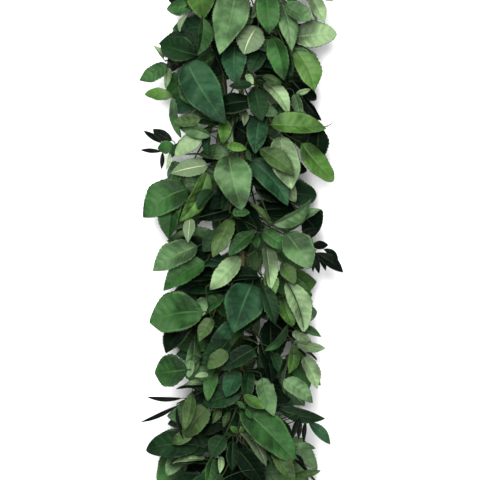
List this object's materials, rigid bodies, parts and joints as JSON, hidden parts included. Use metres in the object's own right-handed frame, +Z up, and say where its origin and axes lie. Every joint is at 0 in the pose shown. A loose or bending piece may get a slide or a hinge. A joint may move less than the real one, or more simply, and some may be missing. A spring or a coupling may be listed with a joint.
{
  "type": "foliage garland",
  "caption": "Straight dense garland of broad pointed leaf sprays and narrow dark sprigs, wired to a hidden rope, lying flat.",
  "frame": {"origin": "middle of the bounding box's base, on the surface that the garland lies on", "axes": "+Y along the garland towards its top end, so the leaf tips point to -Y; +Z up out of the front that the picture shows; +X to the picture's right"},
  "size_m": [0.3188, 0.91, 0.1323],
  "materials": {
    "green_wire": "green enamel, satin",
    "jute_rope": "rough fibre",
    "leaf_black": "nearly black narrow leaf, semi-gloss",
    "leaf_blue": "deep blue-green leaf, semi-gloss",
    "leaf_bright": "bright yellow-green leaf, semi-gloss",
    "leaf_dark": "dark green leaf, semi-gloss",
    "leaf_deep": "very dark green inner leaf, semi-gloss",
    "leaf_mid": "mid green leaf, semi-gloss",
    "leaf_olive": "olive green leaf, satin",
    "leaf_pale": "pale green leaf, satin",
    "leaf_sage": "grey-green leaf, satin"
  },
  "bodies": {
    "root": {"back_1": "leaf_dark", "back_2": "leaf_dark", "back_3": "leaf_dark", "back_4": "leaf_mid", "back_5": "leaf_dark", "back_6": "leaf_dark", "back_7": "leaf_blue", "back_8": "leaf_mid", "binding_wire": "green_wire", "centre_hero": "leaf_blue", "centre_hip": "leaf_blue", "centre_low": "leaf_dark", "centre_narrow": "leaf_bright", "centre_small": "leaf_blue", "centre_waist": "leaf_deep", "core_rope": "jute_rope", "dark_sprig_left": "leaf_black", "dark_sprig_low_left": "leaf_black", "dark_sprig_low_right": "leaf_black", "dark_sprig_right": "leaf_black", "end_left": "leaf_dark", "end_middle": "leaf_deep", "end_right": "leaf_mid", "left_hero": "leaf_mid", "left_hip": "leaf_sage", "left_low": "leaf_mid", "left_middle": "leaf_mid", "left_shoulder": "leaf_bright", "left_silver": "leaf_bright", "left_waist": "leaf_sage", "lower_centre": "leaf_mid", "lower_left": "leaf_olive", "lower_left_hero": "leaf_dark", "lower_right_hero": "leaf_dark", "lower_star": "leaf_dark", "right_hip": "leaf_mid", "right_hip_inner": "leaf_bright", "right_low": "leaf_deep", "right_low_edge": "leaf_deep", "right_middle": "leaf_mid", "right_shoulder": "leaf_sage", "right_shoulder_edge": "leaf_deep", "right_waist": "leaf_sage", "right_waist_inner": "leaf_deep", "side_left_1": "leaf_mid", "side_left_2": "leaf_mid", "side_left_3": "leaf_mid", "side_left_4": "leaf_mid", "side_right_1": "leaf_mid", "side_right_2": "leaf_dark", "side_right_3": "leaf_mid", "side_right_4": "leaf_sage", "top_left": "leaf_deep", "top_middle": "leaf_pale", "top_right": "leaf_deep", "top_right_corner": "leaf_mid", "top_right_edge": "leaf_bright", "upper_left": "leaf_deep", "upper_left_edge": "leaf_blue", "upper_middle": "leaf_blue"}
  },
  "joints": []
}
